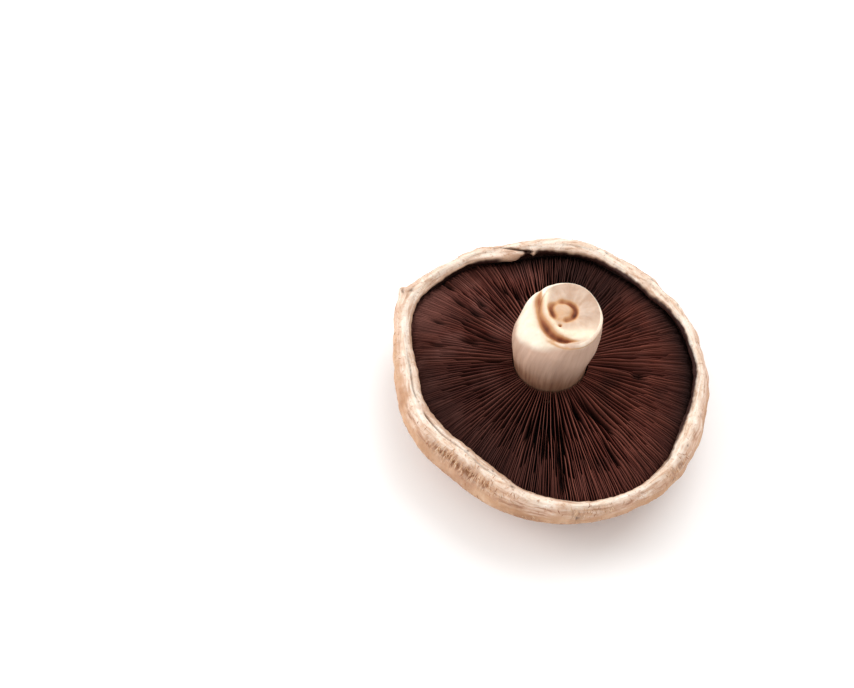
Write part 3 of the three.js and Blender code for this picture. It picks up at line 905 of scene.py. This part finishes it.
def gills():
    material = gill_material()
    gill_bed(material)
    turn = np.arange(GILL_BED_COLUMNS) / GILL_BED_COLUMNS
    reach, roll, _ = rim_at(turn)
    outline = bpy.data.meshes.new("rim_outline")
    corners = ring_points(turn, reach - GILL_END * roll, 0) * MM
    edges = [(i, (i + 1) % GILL_BED_COLUMNS) for i in range(GILL_BED_COLUMNS)]
    outline.from_pydata(corners.tolist(), edges, [])
    plates = grown(
        "gill_plates", outline, gill_tree(material), gills=480, thickness=0.27 * MM, lean=3.4 * MM,
        lying=2.4 * MM, foot=(*STEM_FOOT * MM, 0), foot_radius=GILL_FOOT * MM, root=16.9 * MM,
        edge=25.1 * MM, seed=7)
    sink_hollows(plates)
    show("gill_plates", plates, material, "gill_flesh", "gills")


# Stem

STEM_COLUMNS = 320
SIDE_ROWS = 92
CUT_ROWS = 64
STEM_RADIUS = 14


def cut_relief(points):
    """Height over the level cut, browning with painted shade and paleness with painted light, from the crack,
    the pith's groove and the pit.
    """
    distance, side, half = beside(points, CRACK)
    # Across the crack in its half widths, positive towards the lip
    across = -side * distance / half
    crack = bell(across, np.where(across > 0, 0.85, 1.15)) * smooth(0.3, 1.2, half)
    crack_browning_and_shade = 0.42 * bell(across + 0.1, 1.0) + 0.5 * bell(across - 0.3, 0.6)
    crack_browning_and_shade = crack_browning_and_shade * smooth(0.3, 1.0, half) * (0.65 + 0.35 * smooth(12, 4, points[..., 1]))
    lip = bell(distance - half - 1.4, 1.2) * (across > 0) * smooth(0.4, 1.0, half)

    x, y = points[..., 0], points[..., 1]
    pith_angle = np.degrees(np.arctan2(y - PITH[1], x - PITH[0])) % 360
    pith_distance = np.hypot(x - PITH[0], y - PITH[1]) + 0.35 * noise(points, 2.6, 39)
    # The groove bends out at the back left
    pith_distance = pith_distance - 0.8 * bell(turn_gap(pith_angle / 360, 148), 28)
    ring = bell(pith_distance - PITH_RADIUS, 1.05) * np.interp(pith_angle, PITH_RING[:, 0], PITH_RING[:, 1])
    boss = bell(pith_distance, 2.6)
    pit = bell(np.hypot(x - PIT[0], y - PIT[1]), 0.6)
    rough = 0.35 * noise(points, 3.5, 31) + 0.18 * noise(points, 1.3, 32)
    height = 0.8 * lip + 0.2 * boss - 2.2 * crack - 1.4 * ring - 0.9 * pit + rough

    patchy = 1 + 0.25 * noise(points, 2.2, 38)
    # Browned in the crack, the pith's groove, the hollow round the pith and the pit: partly browned flesh,
    # partly painted shade in these hollows
    browned_and_shaded = patchy * (crack_browning_and_shade + 0.92 * ring + 0.2 * bell(pith_distance, 6.5))
    browned_and_shaded = browned_and_shaded + 0.6 * pit + 0.10 * noise(points, 5, 33)
    # Partly painted light: the front right of the cut is paler, as the lip is, where both face the light.
    flat_part = bell(np.hypot(np.maximum(np.abs(x - 9) - 3.5, 0), y - 0.8), 2.6)
    return height, np.clip(browned_and_shaded, 0, 1), np.clip(lip + flat_part, 0, 1)


def oval(turn, place):
    """A ring of points on the stem, from a row of its table."""
    height, x, y, along_x, along_y = place
    angle = turn * TURN
    return np.stack([x + along_x * np.cos(angle), y + along_y * np.sin(angle), height + 0 * angle], axis=-1)


def stem():
    turn = np.arange(STEM_COLUMNS) / STEM_COLUMNS
    sides = [oval(turn, spline(STEM, place)) for place in np.linspace(0, len(STEM) - 1, SIDE_ROWS)]
    face = [oval(turn, CUT * (1, 1, 1, share, share)) for share in np.linspace(1, 0.02, CUT_ROWS + 1)[1:]]
    rows = np.array(sides + face)
    turn = np.broadcast_to(turn, rows.shape[:2])
    in_cut = np.repeat([0.0, 1.0], [SIDE_ROWS, CUT_ROWS])[:, None]
    fibres = fibre_coordinates(turn, rows, STEM_RADIUS)

    depth = CUT[0] - rows[..., 2]
    lumps = 0.5 * noise(rows, 8, 34) + 0.22 * noise(fibres, (2.2, 2.2, 9), 35)
    lumps = lumps + 0.08 * noise(fibres, (1, 1, 7), 36)
    lumps = lumps * smooth(STEM[2, 0], STEM[3, 0], rows[..., 2]) * smooth(2.5, 5.5, depth)
    # The cut's edge stands out a little at the front right, and the shoulder is fuller at the back left
    flare = 0.6 * bell(depth - 0.4, 0.9) * smooth(60, 25, np.abs(turn_gap(turn, 325)))
    shoulder = 1.1 * bell(depth - 2.8, 3.6) * bell(turn_gap(turn, 138), 34)
    relief, browned_and_shaded, pale_and_lit = cut_relief(rows)
    near_top = smooth(4.5, 0.5, depth)
    rows = rows + normals_of(rows) * (lumps + (flare + shoulder) * (1 - in_cut))[..., None]
    rows[..., 2] += relief * near_top

    # A thin tan line runs along the front of the cut
    skirt = 0.3 * bell(CUT[0] - rows[..., 2] - 0.7, 0.4) * smooth(80, 45, np.abs(turn_gap(turn, 285)))
    # The darker tan near the gills, partly the stem's own tan and partly painted shade, climbs higher at the
    # left, where the pale shoulder comes down lower. At the front right the darker side starts right under the
    # cut's edge, as painted shadow of that edge.
    level = rows[..., 2] + 2 * noise(rows, 5, 37)
    front_right, left = (0.5 + 0.5 * np.cos((turn - at) * TURN) for at in (0.84, 0.54))
    traits = {
        "fibres": fibres,
        "browned_and_shaded": np.maximum(browned_and_shaded * near_top, skirt * (1 - in_cut)),
        "pale_and_lit": pale_and_lit,
        "low": 0.95 * smooth(43, 25, level + 3 * (1 - front_right) - 5 * left**3),
        "foot": 0.7 * smooth(33, 24, level) * left**2,
        "shaft": smooth(49.5, 45, level - 5 * front_right + 4 * bell(turn_gap(turn, 190), 50)),
        "cut": np.broadcast_to(in_cut, rows.shape[:2]),
    }
    show("stem_stalk", grid_mesh("stem_stalk", rows, traits=traits), stem_material(), "stem_flesh", "stem")


camera()
studio()
cap()
gills()
stem()
